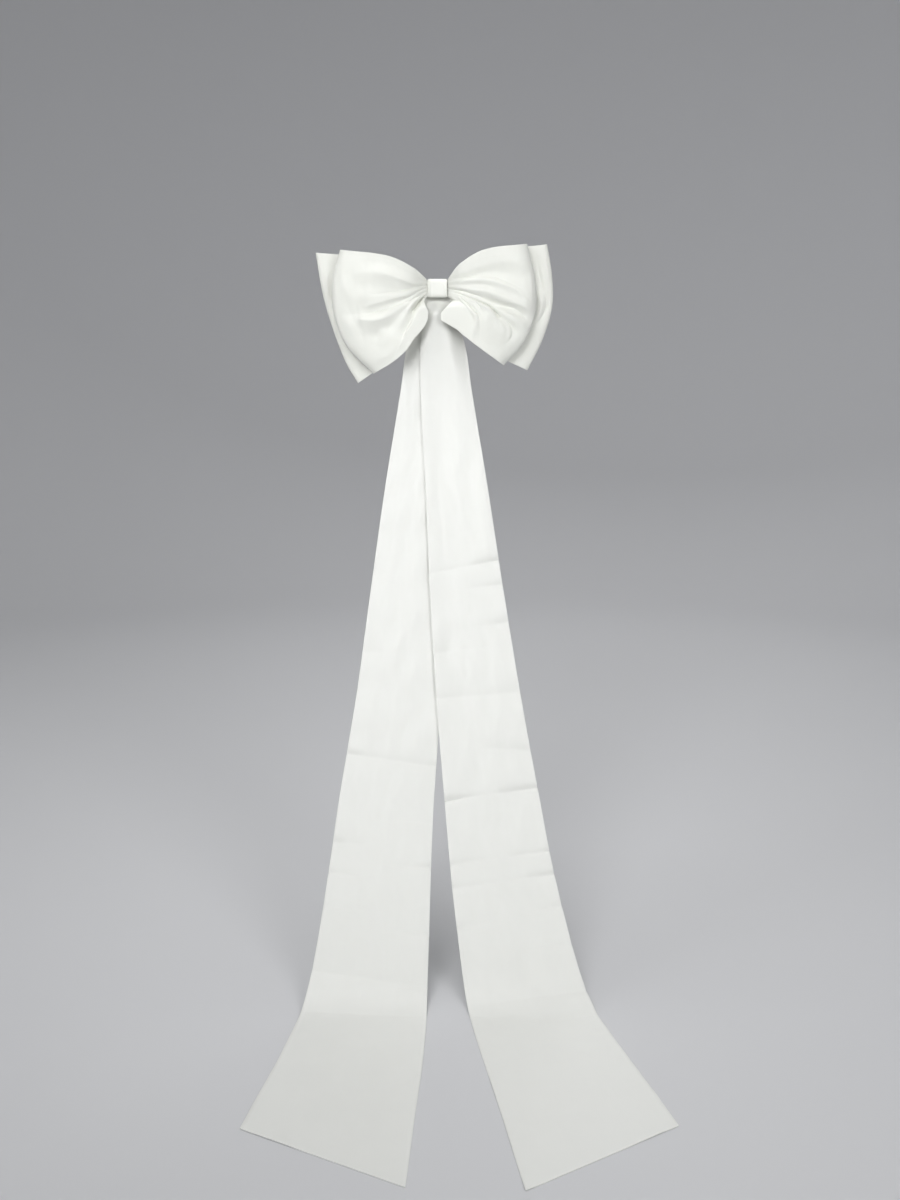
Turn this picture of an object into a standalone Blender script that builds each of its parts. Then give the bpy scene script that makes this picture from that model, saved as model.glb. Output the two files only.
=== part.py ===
"""A white satin bow sash: two pleated bows on one knot, with two floor-length tails.

It hangs as worn, pinned at the back of the waist. The origin is at the back of the knot, where
the pin goes through. +X is to the right as someone behind the wearer sees it, +Y points at the
wearer, and +Z is up. Tables are in centimetres, and every point becomes metres in build_sheet.
"""

import math
from collections import namedtuple

import bmesh
import bpy
from mathutils import Vector

CM = 0.01

LOOP_WALL = 0.15            # two layers of satin with a stiff net between them
TAIL_WALL = 0.16
FLOOR = -125.0              # the floor, below the pin
NECK_HALF = 1.42            # half the height of the pleats where the knot grips them
KNOT_HALF_WIDTH = 1.88
KNOT_HALF_HEIGHT = 1.78
KNOT_DEPTH = 2.5
KNOT_BACK = -0.38           # the tails are sewn on between this and the wearer
SEAM = 0.03                 # left between pieces that are sewn together

Edge = namedtuple("Edge", "top fold bottom lip")
Wall = namedtuple("Wall", "share front_out front_in back_out back_in")
Fold = namedtuple("Fold", "name near far edge start middle late end")
Station = namedtuple("Station", "forward height width left right behind")


# ---------------------------------------------------------------------------------------------
# Outlines of the four loops, as seen from the front: (x, z) points that each edge passes. lip is
# how far the outer wall's bottom edge reaches over towards the middle (or away from it), at depths
# below the pin: there the last pleat falls open in front of the tails.
# ---------------------------------------------------------------------------------------------

NECK_LEFT = ((-1.95, NECK_HALF), (-1.95, -NECK_HALF))
NECK_RIGHT = ((1.95, NECK_HALF), (1.95, -NECK_HALF))

FRONT_LEFT = Edge(
    top=((-1.95, 1.42), (-2.6, 2.2), (-4.8, 4.0), (-9.5, 6.1), (-18.5, 7.2)),
    fold=((-18.5, 7.2), (-20.1, 0.8), (-19.8, -5.0), (-17.4, -11.0), (-12.3, -16.2)),
    bottom=((-1.95, -1.42), (-2.5, -2.3), (-2.9, -4.2), (-3.6, -7.7), (-7.2, -12.8),
            (-12.3, -16.2)),
    lip=((1.6, 0.0), (2.6, 0.0), (4.4, 1.2), (5.8, 1.25), (8.0, 0.65), (9.6, 0.1), (11.6, 0.2), (13.5, 0.0)))

FRONT_RIGHT = Edge(
    top=((1.95, 1.42), (2.6, 2.5), (4.6, 4.8), (9.2, 7.3), (17.1, 8.3)),
    fold=((17.1, 8.3), (18.7, 1.5), (18.8, -4.5), (16.8, -10.0), (12.8, -14.6)),
    bottom=((1.95, -1.42), (2.5, -2.3), (3.0, -4.2), (3.8, -6.7), (5.2, -8.9), (12.8, -14.6)),
    lip=((1.5, 0.0), (2.3, -0.5), (4.6, 2.4), (6.0, 2.8), (6.9, 1.6), (7.9, 0.35), (9.2, 0.0)))

BACK_LEFT = Edge(
    top=((-1.95, 1.42), (-2.6, 2.1), (-4.9, 3.8), (-9.5, 5.6), (-23.4, 6.7)),
    fold=((-23.4, 6.7), (-22.3, -0.3), (-20.8, -6.1), (-18.0, -13.8), (-15.5, -18.2)),
    bottom=((-1.95, -1.42), (-2.6, -2.4), (-3.4, -5.4), (-4.4, -8.6), (-7.9, -12.7),
            (-15.5, -18.2)),
    lip=((0.0, 0.0),))

BACK_RIGHT = Edge(
    top=((1.95, 1.42), (2.6, 2.3), (4.7, 4.5), (9.3, 6.9), (21.1, 8.3)),
    fold=((21.1, 8.3), (22.1, 2.5), (22.2, -3.5), (20.4, -9.8), (17.5, -15.7)),
    bottom=((1.95, -1.42), (2.6, -2.4), (3.6, -5.4), (5.2, -8.4), (9.4, -11.8),
            (17.5, -15.7)),
    lip=((0.0, 0.0),))


# ---------------------------------------------------------------------------------------------
# How far each wall stands towards the front (-Y), along the way from the knot (0) to the
# fold at the loop's outer end (1): the outer and inner wall of the front and of the back bow
# ---------------------------------------------------------------------------------------------

WALLS = (
    Wall(0.00, -2.10, -1.79, -1.48, -1.17),
    Wall(0.05, -2.65, -1.92, -1.44, -1.10),
    Wall(0.12, -3.45, -2.05, -1.38, -1.02),
    Wall(0.30, -5.15, -2.25, -1.35, -0.90),
    Wall(0.50, -5.95, -2.40, -1.28, -0.66),
    Wall(0.70, -6.00, -2.50, -1.20, 1.00),
    Wall(0.88, -5.35, -2.65, -1.05, 1.25),
    Wall(0.94, -4.85, -2.72, -0.95, 0.80),
    Wall(0.985, -4.05, -2.93, -0.68, 0.25),
    Wall(1.00, -3.35, -3.35, -0.25, -0.25))


# ---------------------------------------------------------------------------------------------
# Pleats, top to bottom. near, far and edge say where a fold line runs, as a share of the loop's
# height, at 0.3, 0.7 and 1.0 of the way out; at the knot they are evenly spaced. start, middle,
# late and end say how far it stands out there (+) or sinks in (-), at 0.1, 0.35, 0.65 and 0.9.
# ---------------------------------------------------------------------------------------------

PLEATS_FRONT_LEFT = (
    Fold("top edge",      0.00, 0.00, 0.00,  0.00, -0.10,  0.00,  0.00),
    Fold("shallow dip",   0.12, 0.06, 0.08, -0.25, -0.15,  0.00,  0.00),
    Fold("broad roll",    0.26, 0.13, 0.17,  0.35,  0.50,  0.30,  0.00),
    Fold("upper valley",  0.40, 0.29, 0.27, -0.40, -0.40, -0.15,  0.00),
    Fold("upper ridge",   0.48, 0.38, 0.38,  0.30,  0.30,  0.15,  0.00),
    Fold("long valley",   0.58, 0.52, 0.50, -0.45, -0.60, -0.65, -0.05),
    Fold("bright ridge",  0.62, 0.60, 0.58,  0.20,  0.25,  0.45,  0.10),
    Fold("hollow",        0.65, 0.74, 0.68, -0.10, -0.05, -0.35, -0.05),
    Fold("lower swell",   0.68, 0.83, 0.80,  0.15,  0.10,  0.05,  0.00),
    Fold("hem crease",    0.71, 0.94, 0.92, -0.40, -0.60, -0.10,  0.00),
    Fold("bottom edge",   1.00, 1.00, 1.00, -0.10,  0.35,  0.15,  0.00))

PLEATS_FRONT_RIGHT = (
    Fold("top edge",      0.00, 0.00, 0.00,  0.00,  0.05,  0.05,  0.00),
    Fold("wide valley",   0.24, 0.19, 0.20, -0.30, -0.35, -0.65, -0.30),
    Fold("arched ridge",  0.29, 0.33, 0.38,  0.20,  0.35,  0.35,  0.30),
    Fold("soft dip",      0.37, 0.39, 0.45, -0.25, -0.15, -0.05,  0.05),
    Fold("middle ridge",  0.46, 0.46, 0.53,  0.25,  0.40,  0.30,  0.20),
    Fold("deep valley",   0.50, 0.55, 0.61, -0.35, -0.60, -1.00, -0.70),
    Fold("lobe rim",      0.54, 0.61, 0.66,  0.10,  0.10,  0.55,  0.40),
    Fold("lobe crease",   0.57, 0.66, 0.73, -0.10,  0.00,  0.10, -0.40),
    Fold("lobe",          0.60, 0.76, 0.82,  0.10,  0.10,  0.70,  0.10),
    Fold("hem crease",    0.64, 0.92, 0.92, -0.15, -0.50, -0.35,  0.00),
    Fold("bottom edge",   1.00, 1.00, 1.00, -0.40,  0.25,  0.15,  0.00))

PLEATS_PLAIN = (
    Fold("top edge",      0.00, 0.00, 0.00,  0.00,  0.00,  0.00,  0.00),
    Fold("first valley",  0.11, 0.12, 0.12, -0.20, -0.15, -0.05,  0.00),
    Fold("first ridge",   0.21, 0.20, 0.19,  0.15,  0.18,  0.10,  0.00),
    Fold("second valley", 0.31, 0.32, 0.33, -0.20, -0.22, -0.20, -0.05),
    Fold("second ridge",  0.40, 0.41, 0.43,  0.18,  0.20,  0.12,  0.05),
    Fold("third valley",  0.50, 0.52, 0.54, -0.20, -0.15, -0.10,  0.00),
    Fold("third ridge",   0.60, 0.60, 0.62,  0.18,  0.22,  0.20,  0.00),
    Fold("fourth valley", 0.70, 0.71, 0.72, -0.20, -0.20, -0.12, -0.05),
    Fold("fourth ridge",  0.80, 0.80, 0.81,  0.15,  0.12,  0.05,  0.00),
    Fold("fifth valley",  0.90, 0.91, 0.92, -0.12, -0.08, -0.05,  0.00),
    Fold("bottom edge",   1.00, 1.00, 1.00,  0.00,  0.00,  0.00,  0.00))

NECK_ZIGZAG = 0.12          # how far the pleats stand out and in under the knot
LINES_AT = (0.0, 0.3, 0.7, 1.0)
HEIGHTS_AT = (0.0, 0.1, 0.35, 0.65, 0.9, 1.0)


# ---------------------------------------------------------------------------------------------
# Tails: forward and height place the middle of the cloth in a side view, left and right are the
# x of the two middle lines, and behind is how far the left tail lies behind the right one
# ---------------------------------------------------------------------------------------------

TAIL_STATIONS = (
    Station(-0.27,    1.3,   3.0,   0.0,  0.0, 0.19),
    Station(-0.27,   -1.9,   4.3,  -0.1,  0.2, 0.52),
    Station(-0.30,   -4.5,   5.7,  -0.8,  0.4, 0.64),
    Station(-0.30,   -8.0,   7.4,  -1.4,  0.5, 0.60),
    Station(-0.45,  -12.0,   8.9,  -1.7,  1.1, 0.60),
    Station(-2.60,  -20.0,  10.0,  -2.2,  1.7, 0.60),
    Station(-7.80,  -39.0,  12.1,  -4.2,  3.8, 0.60),
    Station(-13.4,  -58.0,  14.2,  -5.8,  5.7, 0.60),
    Station(-20.5,  -77.0,  16.1,  -7.4,  7.9, 0.60),
    Station(-28.8,  -95.0,  17.8,  -9.5, 10.4, 0.60),
    Station(-35.8, -107.0,  19.0, -10.6, 12.2, 0.30),
    Station(-42.6, -116.0,  20.1, -11.4, 14.0, 0.00),
    Station(-49.0, -122.0,  21.1, -12.1, 15.5, 0.00),
    Station(-55.0, -124.6,  22.0, -12.6, 16.8, 0.00),
    Station(-62.0, -125.0,  22.8, -13.1, 18.0, 0.00),
    Station(-75.0, -125.0,  24.0, -14.0, 20.2, 0.00),
    Station(-90.0, -125.0,  25.5, -15.4, 22.8, 0.00),
    Station(-104., -125.0,  26.8, -16.6, 25.1, 0.00))

HEM_LEAD = 7.25             # how far the inner corner of the slanted hem lies ahead of its middle
HEM_RUN = 3                 # stations over which the slant grows
TAIL_ARCH = 0.25            # the middle of the hanging cloth stands this far out of its edges
ARCH_STATIONS = (4, 7)      # where the arch begins and where it is full
ARCH_RISE = 30.0            # height above the floor from which it is full
GATHER = 0.08               # the depth of the tails' own pleats just below the knot
GATHER_PITCH = 2.5          # from one of these pleats to the next
GATHER_IN, GATHER_OUT = (1, 2), (5, 3)      # the stations where the pleats grow and fade
PUFF = 2.3                  # below the knot both tails bulge forward between the loops
PUFF_REACH = (3.9, 0.2)     # how far from the middle the bulge begins and is full
PUFF_WIDER = 0.25           # and how much farther for each centimetre below PUFF_EVEN
PUFF_EVEN = -4.0
PUFF_IN, PUFF_OUT = (0.9, 2.2), (5.6, 3.6)  # the stations where it grows and fades


def curve_through(knots, values, at):
    """The value at a place on a smooth curve through the values, which stand at the knots."""
    last = len(knots) - 1
    at = min(max(at, knots[0]), knots[last])
    i = 0
    while i < last - 1 and at > knots[i + 1]:
        i += 1

    def slope(j):
        before, after = max(j - 1, 0), min(j + 1, last)
        return (values[after] - values[before]) / (knots[after] - knots[before])

    span = knots[i + 1] - knots[i]
    t = (at - knots[i]) / span
    return ((2 * t ** 3 - 3 * t ** 2 + 1) * values[i] + (t ** 3 - 2 * t ** 2 + t) * span * slope(i)
            + (3 * t ** 2 - 2 * t ** 3) * values[i + 1] + (t ** 3 - t ** 2) * span * slope(i + 1))


def ramp(start, end, at):
    """Rises smoothly from 0 at start to 1 at end, whichever of them is the greater."""
    t = min(max((at - start) / (end - start), 0.0), 1.0)
    return t * t * (3 - 2 * t)


def spaced_knots(points):
    """Knots from 0 to 1, spaced by the square root of the distance between the points."""
    knots = [0.0]
    for before, after in zip(points, points[1:]):
        knots.append(knots[-1] + math.sqrt((Vector(after) - Vector(before)).length))
    return [knot / knots[-1] for knot in knots]


def along(points, t):
    """The point at share t of the smooth curve through the points."""
    knots = spaced_knots(points)
    return Vector([curve_through(knots, column, t) for column in zip(*points)])


def loop_outline(edge, neck, out, down):
    """(x, z) of a loop's wall: out goes from the knot to the fold, down from top to bottom."""
    neck_top, neck_bottom = Vector(neck[0]), Vector(neck[1])
    fold_top, fold_bottom = Vector(edge.fold[0]), Vector(edge.fold[-1])
    across = along(edge.top, out) * (1 - down) + along(edge.bottom, out) * down
    upright = (neck_top.lerp(neck_bottom, down)) * (1 - out) + along(edge.fold, down) * out
    corners = (neck_top.lerp(neck_bottom, down)) * (1 - out)
    corners += fold_top.lerp(fold_bottom, down) * out
    return across + upright - corners


def pleat(folds, row, out):
    """Where a fold line runs (share of the height) and how far it stands out, at a share out.
    row counts fold lines from the top, and a half lies midway between two of them."""
    lines, heights = [], []
    for i, fold in enumerate(folds):
        even = i / (len(folds) - 1)
        lines.append(curve_through(LINES_AT, (even, fold.near, fold.far, fold.edge), out))
        zigzag = NECK_ZIGZAG if i % 2 == 0 else -NECK_ZIGZAG
        steps = (zigzag, fold.start, fold.middle, fold.late, fold.end, 0.0)
        heights.append(curve_through(HEIGHTS_AT, steps, out))
    i = min(int(row), len(folds) - 2)
    t = row - i
    ease = (1 - math.cos(math.pi * t)) / 2
    line = lines[i] + (lines[i + 1] - lines[i]) * t
    return line, heights[i] + (heights[i + 1] - heights[i]) * ease


SATIN_ROUGHNESS = 0.38


def satin(name, colour):
    material = bpy.data.materials.new(name)
    material.use_nodes = True
    shader = material.node_tree.nodes["Principled BSDF"]
    shader.inputs["Base Color"].default_value = (*colour, 1.0)
    shader.inputs["Roughness"].default_value = SATIN_ROUGHNESS
    shader.inputs["Metallic"].default_value = 0.0
    return material


def build_sheet(name, columns, rows, place, wall, material, closed=False):
    """A grid of columns x rows cells, each point put by place(column, row) in centimetres,
    then given the thickness of the cloth. A closed sheet meets itself, first column to last."""
    mesh = bpy.data.meshes.new(name)
    form = bmesh.new()
    bmesh.ops.create_grid(form, x_segments=columns, y_segments=rows, size=1.0)
    for point in form.verts:
        column = round((point.co.x + 1) / 2 * columns)
        row = round((1 - point.co.y) / 2 * rows)
        point.co = Vector(place(column, row)) * CM
    if closed:
        bmesh.ops.remove_doubles(form, verts=form.verts, dist=1e-6)
    form.to_mesh(mesh)
    form.free()
    mesh.shade_smooth()
    mesh.materials.append(material)
    sheet = bpy.data.objects.new(name, mesh)
    collection.objects.link(sheet)
    solid = sheet.modifiers.new("cloth", "SOLIDIFY")
    solid.thickness = wall * CM
    solid.offset = 0.0
    solid.use_even_offset = True
    solid.use_quality_normals = True
    return sheet


# ---------------------------------------------------------------------------------------------
# Loops: the outer wall runs from under the knot to the fold, and the inner wall back again
# ---------------------------------------------------------------------------------------------

OUT_STEPS = (0.0, 0.06, 0.13, 0.21, 0.30, 0.40, 0.50, 0.61, 0.73, 0.85, 0.94, 0.985, 1.0)
ROWS_PER_FOLD = 2
LIP_ROWS = 0.72             # the lip is what lies below this share of the height


def reach_of(lip, below):
    """How far the lip reaches over at a depth below the pin, straight from point to point."""
    if below <= lip[0][0]:
        return lip[0][1]
    for (upper, before), (lower, after) in zip(lip, lip[1:]):
        if below <= lower:
            return before + (after - before) * (below - upper) / (lower - upper)
    return lip[-1][1]


# A flap is the part of the last pleat that has fallen open. It lies nearly flat, on the side of
# its border that is nearer the middle. near is how far forward it is at the middle, and lean how
# much further forward it is for each centimetre outwards.
Flap = namedtuple("Flap", "border near lean")

FLAP_LEFT = Flap(((-2.5, -1.8), (-3.2, -2.9), (-4.1, -4.5), (-5.0, -6.2), (-6.1, -8.1), (-6.9, -9.9)),
                 4.9, 0.20)
FLAP_RIGHT = Flap(((3.5, -1.9), (4.4, -2.4), (5.9, -3.7), (7.1, -5.2), (7.4, -6.9), (7.0, -10.4)),
                  4.7, 0.20)
FLAP_EDGE = 0.6             # how wide the step at its border is
FLAP_TOP = (-2.2, -3.8)     # the heights where it begins and is full
FLAP_END = (-12.5, -9.5)


def flap_share(flap, side, x, z):
    """1 where the flap's flat part is at x, z, and 0 where the rest of the loop is."""
    best, is_above = None, False
    for start, end in zip(flap.border, flap.border[1:]):
        a, step = Vector(start), Vector(end) - Vector(start)
        t = min(max((Vector((x, z)) - a).dot(step) / step.dot(step), 0.0), 1.0)
        away = Vector((x, z)) - a - step * t
        if best is None or away.length < best:
            best = away.length
            is_above = (step.x * away.y - step.y * away.x) * side > 0
    if is_above:
        return 0.0
    return ramp(0.0, FLAP_EDGE, best) * ramp(*FLAP_TOP, z) * ramp(*FLAP_END, z)


def build_loop(name, edge, side, outer, inner, outer_pleats, inner_pleats, material, flap=None):
    """side is -1 for a left loop and 1 for a right one. outer and inner name the WALLS columns."""
    neck = NECK_LEFT if side < 0 else NECK_RIGHT
    shares = [wall.share for wall in WALLS]
    outward = [(share, outer, outer_pleats, True) for share in OUT_STEPS]
    homeward = [(share, inner, inner_pleats, False) for share in reversed(OUT_STEPS[:-1])]
    under_knot = [(None, outer, outer_pleats, False)]
    back_under_knot = [(None, inner, inner_pleats, False)]
    ring = under_knot + outward + homeward + back_under_knot
    rows = (len(outer_pleats) - 1) * ROWS_PER_FOLD

    def place(column, row):
        out, wall, folds, has_lip = ring[column]
        line, height = pleat(folds, row / ROWS_PER_FOLD, out or 0.0)
        x, z = loop_outline(edge, neck, out or 0.0, line)
        if out is None:
            x = side * SEAM / 2
        if has_lip:
            x -= side * reach_of(edge.lip, -z) * ramp(LIP_ROWS, 1.0, line)
        depth = curve_through(shares, [getattr(step, wall) for step in WALLS], out or 0.0) - height
        if flap and has_lip:
            level = -flap.near - flap.lean * abs(x)
            depth += (level - depth) * flap_share(flap, side, x, z)
        return x, depth, z

    return build_sheet(name, len(ring) - 1, rows, place, LOOP_WALL, material)


# ---------------------------------------------------------------------------------------------
# Knot band: wrapped round the pleats, closed at its back
# ---------------------------------------------------------------------------------------------

KNOT_SQUARENESS = 5.0       # the power of the rounded-off section, 2 for an ellipse
KNOT_STEPS_ROUND = 40
KNOT_CELLS_ACROSS = 6


def build_knot(material):
    half_depth = KNOT_DEPTH / 2

    def rounded(value):
        return math.copysign(abs(value) ** (2 / KNOT_SQUARENESS), value)

    def place(column, row):
        turn = 2 * math.pi * column / KNOT_STEPS_ROUND
        share = row / KNOT_CELLS_ACROSS * 2 - 1
        y = KNOT_BACK - half_depth - rounded(math.cos(turn)) * (half_depth - LOOP_WALL / 2)
        z = rounded(math.sin(turn)) * (KNOT_HALF_HEIGHT - LOOP_WALL / 2)
        return share * KNOT_HALF_WIDTH, y, z

    return build_sheet("knot_band", KNOT_STEPS_ROUND, KNOT_CELLS_ACROSS, place, LOOP_WALL, material,
                       closed=True)


# ---------------------------------------------------------------------------------------------
# Tails: gathered behind the knot, hanging forward to the floor and lying on it
# ---------------------------------------------------------------------------------------------

TAIL_CELLS = 10
STEPS_PER_STATION = 2
HEADING_STEP = 0.002        # the share of the length over which a heading is taken


def build_tail(name, side, material):
    """side is -1 for the left tail, which lies behind, and 1 for the right one."""
    middles = []
    for station in TAIL_STATIONS:
        x = station.left if side < 0 else station.right
        y = station.forward + (station.behind if side < 0 else 0.0)
        middles.append((x, y, max(station.height, FLOOR + TAIL_WALL / 2)))
    knots = spaced_knots(middles)
    widths = [station.width for station in TAIL_STATIONS]
    last = len(TAIL_STATIONS) - 1

    def middle(at):
        point = Vector([curve_through(knots, column, at) for column in zip(*middles)])
        point.z = max(point.z, FLOOR + TAIL_WALL / 2)
        return point

    def place(column, row):
        number = row / STEPS_PER_STATION
        i = min(int(number), last - 1)
        at = knots[i] + (knots[i + 1] - knots[i]) * (number - i)
        ahead, behind = middle(min(at + HEADING_STEP, 1.0)), middle(max(at - HEADING_STEP, 0.0))
        heading = (ahead - behind).normalized()
        across = (Vector((1, 0, 0)) - heading * heading.x).normalized()
        outward = (column / TAIL_CELLS * 2 - 1) * side
        width = curve_through(knots, widths, at)
        lead = HEM_LEAD * max(0.0, 1 - (last - number) / HEM_RUN)
        point = middle(at) + across * (side * outward * width / 2) - heading * (outward * lead)
        hanging = ramp(FLOOR, FLOOR + ARCH_RISE, point.z) * ramp(*ARCH_STATIONS, number)
        gathered = ramp(*GATHER_IN, number) * ramp(*GATHER_OUT, number)
        wider = PUFF_WIDER * max(0.0, PUFF_EVEN - point.z)
        puffed = ramp(*PUFF_IN, number) * ramp(*PUFF_OUT, number) * ramp(*PUFF_REACH, abs(point.x) - wider)
        point.y -= TAIL_ARCH * hanging * (1 - outward ** 2)
        point.y -= GATHER * gathered * math.cos(2 * math.pi * point.x / GATHER_PITCH)
        point.y -= PUFF * puffed
        point.z = max(point.z, FLOOR + TAIL_WALL / 2)
        return point

    return build_sheet(name, TAIL_CELLS, last * STEPS_PER_STATION, place, TAIL_WALL, material)


for leftover in list(bpy.data.objects):
    bpy.data.objects.remove(leftover)

collection = bpy.data.collections.new("satin_bow_sash")
bpy.context.scene.collection.children.link(collection)

loop_satin = satin("loop_satin", (0.87, 0.86, 0.84))
knot_satin = satin("knot_satin", (0.88, 0.87, 0.85))
tail_satin = satin("tail_satin", (0.86, 0.85, 0.83))

build_loop("front_loop_left", FRONT_LEFT, -1, "front_out", "front_in",
           PLEATS_FRONT_LEFT, PLEATS_PLAIN, loop_satin, flap=FLAP_LEFT)
build_loop("front_loop_right", FRONT_RIGHT, 1, "front_out", "front_in",
           PLEATS_FRONT_RIGHT, PLEATS_PLAIN, loop_satin, flap=FLAP_RIGHT)
build_loop("back_loop_left", BACK_LEFT, -1, "back_out", "back_in",
           PLEATS_PLAIN, PLEATS_PLAIN, loop_satin)
build_loop("back_loop_right", BACK_RIGHT, 1, "back_out", "back_in",
           PLEATS_PLAIN, PLEATS_PLAIN, loop_satin)
build_knot(knot_satin)
build_tail("tail_left", -1, tail_satin)
build_tail("tail_right", 1, tail_satin)
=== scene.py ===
"""Looks of a white satin bow sash: two pleated bows on one knot and two floor-length tails.

The sash hangs as worn, from the pin behind its knot. Cloth shapes are worked out in centimetres
and become metres as they are laid. +X is to the right, +Y points at the wearer, +Z is up.
"""

import math
from collections import namedtuple

import bpy
import numpy as np
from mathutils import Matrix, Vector, noise


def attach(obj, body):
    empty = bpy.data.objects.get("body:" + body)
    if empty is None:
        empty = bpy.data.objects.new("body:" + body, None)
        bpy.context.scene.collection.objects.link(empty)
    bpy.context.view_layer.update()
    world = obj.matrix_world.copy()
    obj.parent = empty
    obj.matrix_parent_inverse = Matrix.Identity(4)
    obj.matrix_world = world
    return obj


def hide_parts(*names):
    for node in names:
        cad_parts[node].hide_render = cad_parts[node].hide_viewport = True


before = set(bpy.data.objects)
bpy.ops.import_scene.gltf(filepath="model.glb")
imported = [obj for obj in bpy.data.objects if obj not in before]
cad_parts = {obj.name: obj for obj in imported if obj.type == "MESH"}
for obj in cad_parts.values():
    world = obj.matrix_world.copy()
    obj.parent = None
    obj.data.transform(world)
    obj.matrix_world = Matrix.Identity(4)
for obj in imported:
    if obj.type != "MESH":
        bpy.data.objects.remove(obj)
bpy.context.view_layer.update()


# =============================================================================================
# Camera: it stands 3.3 m in front of the bow and looks down at the floor where the tails lie.
# The lens is a plain 50 mm one and takes in the whole length of the tails.
# =============================================================================================

CAMERA_AT = (0.0244, -3.2848, -0.0054)
CAMERA_DOWN = 10.5

bpy.ops.object.camera_add(location=CAMERA_AT, rotation=(math.radians(90 - CAMERA_DOWN), 0, 0))
camera = bpy.context.object
camera.name = "camera"
camera.data.lens = 50
camera.data.sensor_width = 36
bpy.context.scene.camera = camera


# =============================================================================================
# Front loops: each is a wide strip of bagged-out satin, folded over at its outer end and open at
# its top and bottom. Its two ends are laid in pleats and stitched under the knot, and the pleats
# open into folds towards the outer end.
# =============================================================================================

Edge = namedtuple("Edge", "top fold bottom lip")
Wall = namedtuple("Wall", "share front_out front_in back_out back_in")
Fold = namedtuple("Fold", "name near far edge start middle late end")
Crease = namedtuple("Crease", "name points heights above below soft")

NECK_HALF = 1.42            # half the height of the pleats where the knot grips them
NECK_X = 1.95               # and how far from the middle it does
NECK_ZIGZAG = 0.05
LOOP_WALL = 0.15
LOOP_SEAM = 0.03            # the gap between a left and a right loop, under the knot

# Where the loops' walls are (y), at shares of the way from the knot to the fold. Outer walls face
# away from the wearer, and inner ones towards them.
WALLS = (
    Wall(0.00, -2.10, -1.79, -1.48, -1.17),
    Wall(0.05, -2.65, -1.92, -1.44, -1.10),
    Wall(0.12, -3.45, -2.05, -1.38, -1.02),
    Wall(0.30, -5.15, -2.25, -1.35, -0.90),
    Wall(0.50, -5.95, -2.40, -1.28, -0.66),
    Wall(0.70, -6.00, -2.50, -1.20, 1.00),
    Wall(0.88, -5.50, -2.65, -1.10, 1.25),
    Wall(0.94, -5.10, -2.72, -1.05, 0.80),
    Wall(0.985, -4.30, -2.93, -0.80, 0.25),
    Wall(1.00, -3.35, -3.35, -0.25, -0.25))

# top and bottom run from the knot outwards, and fold downwards, through (x, z) points. lip says
# how far the outer wall's bottom edge reaches over towards the middle (or away from it), at depths
# below the knot. There the last pleat falls open and shows its inner side.
FRONT_LEFT = Edge(
    top=((-1.95, 1.42), (-2.6, 2.2), (-4.8, 4.0), (-9.5, 6.1), (-18.5, 7.2)),
    fold=((-18.5, 7.2), (-20.1, 0.8), (-19.8, -5.0), (-17.4, -11.0), (-12.3, -16.2)),
    bottom=((-1.95, -1.42), (-2.5, -2.3), (-2.9, -4.2), (-3.6, -7.7), (-7.2, -12.8),
            (-12.3, -16.2)),
    lip=((1.6, 0.0), (2.6, 0.0), (4.4, 1.2), (5.8, 1.25), (8.0, 0.65), (9.6, 0.1), (11.6, 0.2),
         (13.5, 0.0)))

FRONT_RIGHT = Edge(
    top=((1.95, 1.42), (2.6, 2.5), (4.6, 4.8), (9.2, 7.3), (17.1, 8.3)),
    fold=((17.1, 8.3), (18.7, 1.5), (18.8, -4.5), (16.8, -10.0), (12.8, -14.6)),
    bottom=((1.95, -1.42), (2.5, -2.3), (3.0, -4.2), (3.8, -6.7), (5.2, -8.9), (12.8, -14.6)),
    lip=((1.5, 0.0), (2.3, -0.5), (4.6, 2.4), (6.0, 2.8), (6.9, 1.6), (7.9, 0.35), (9.2, 0.0)))

# near, far and edge: where the fold line runs, as a share of the height, at 0.3, 0.7 and 1.0 of
# the way out. start, middle, late and end: how far it stands out, at 0.1, 0.35, 0.65 and 0.9.
PLEATS_FRONT_LEFT = (
    Fold("top edge",      0.00, 0.00, 0.00,  0.00, -0.10,  0.00,  0.00),
    Fold("shallow dip",   0.12, 0.06, 0.08, -0.08, -0.10,  0.00,  0.00),
    Fold("broad roll",    0.26, 0.16, 0.17,  0.10,  0.25,  0.20,  0.00),
    Fold("upper valley",  0.40, 0.31, 0.27, -0.12, -0.15, -0.05,  0.00),
    Fold("upper ridge",   0.48, 0.39, 0.38,  0.08,  0.10,  0.10,  0.00),
    Fold("long valley",   0.56, 0.50, 0.50, -0.10, -0.25, -0.25, -0.05),
    Fold("lit shelf",     0.62, 0.60, 0.58,  0.05,  0.10,  0.20,  0.10),
    Fold("hollow",        0.66, 0.72, 0.68,  0.00, -0.05, -0.20, -0.05),
    Fold("lower swell",   0.70, 0.83, 0.80,  0.00,  0.10,  0.05,  0.00),
    Fold("hem crease",    0.76, 0.94, 0.92, -0.10, -0.25,  0.00,  0.00),
    Fold("bottom edge",   1.00, 1.00, 1.00, -0.10,  0.35,  0.15,  0.00))

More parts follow.
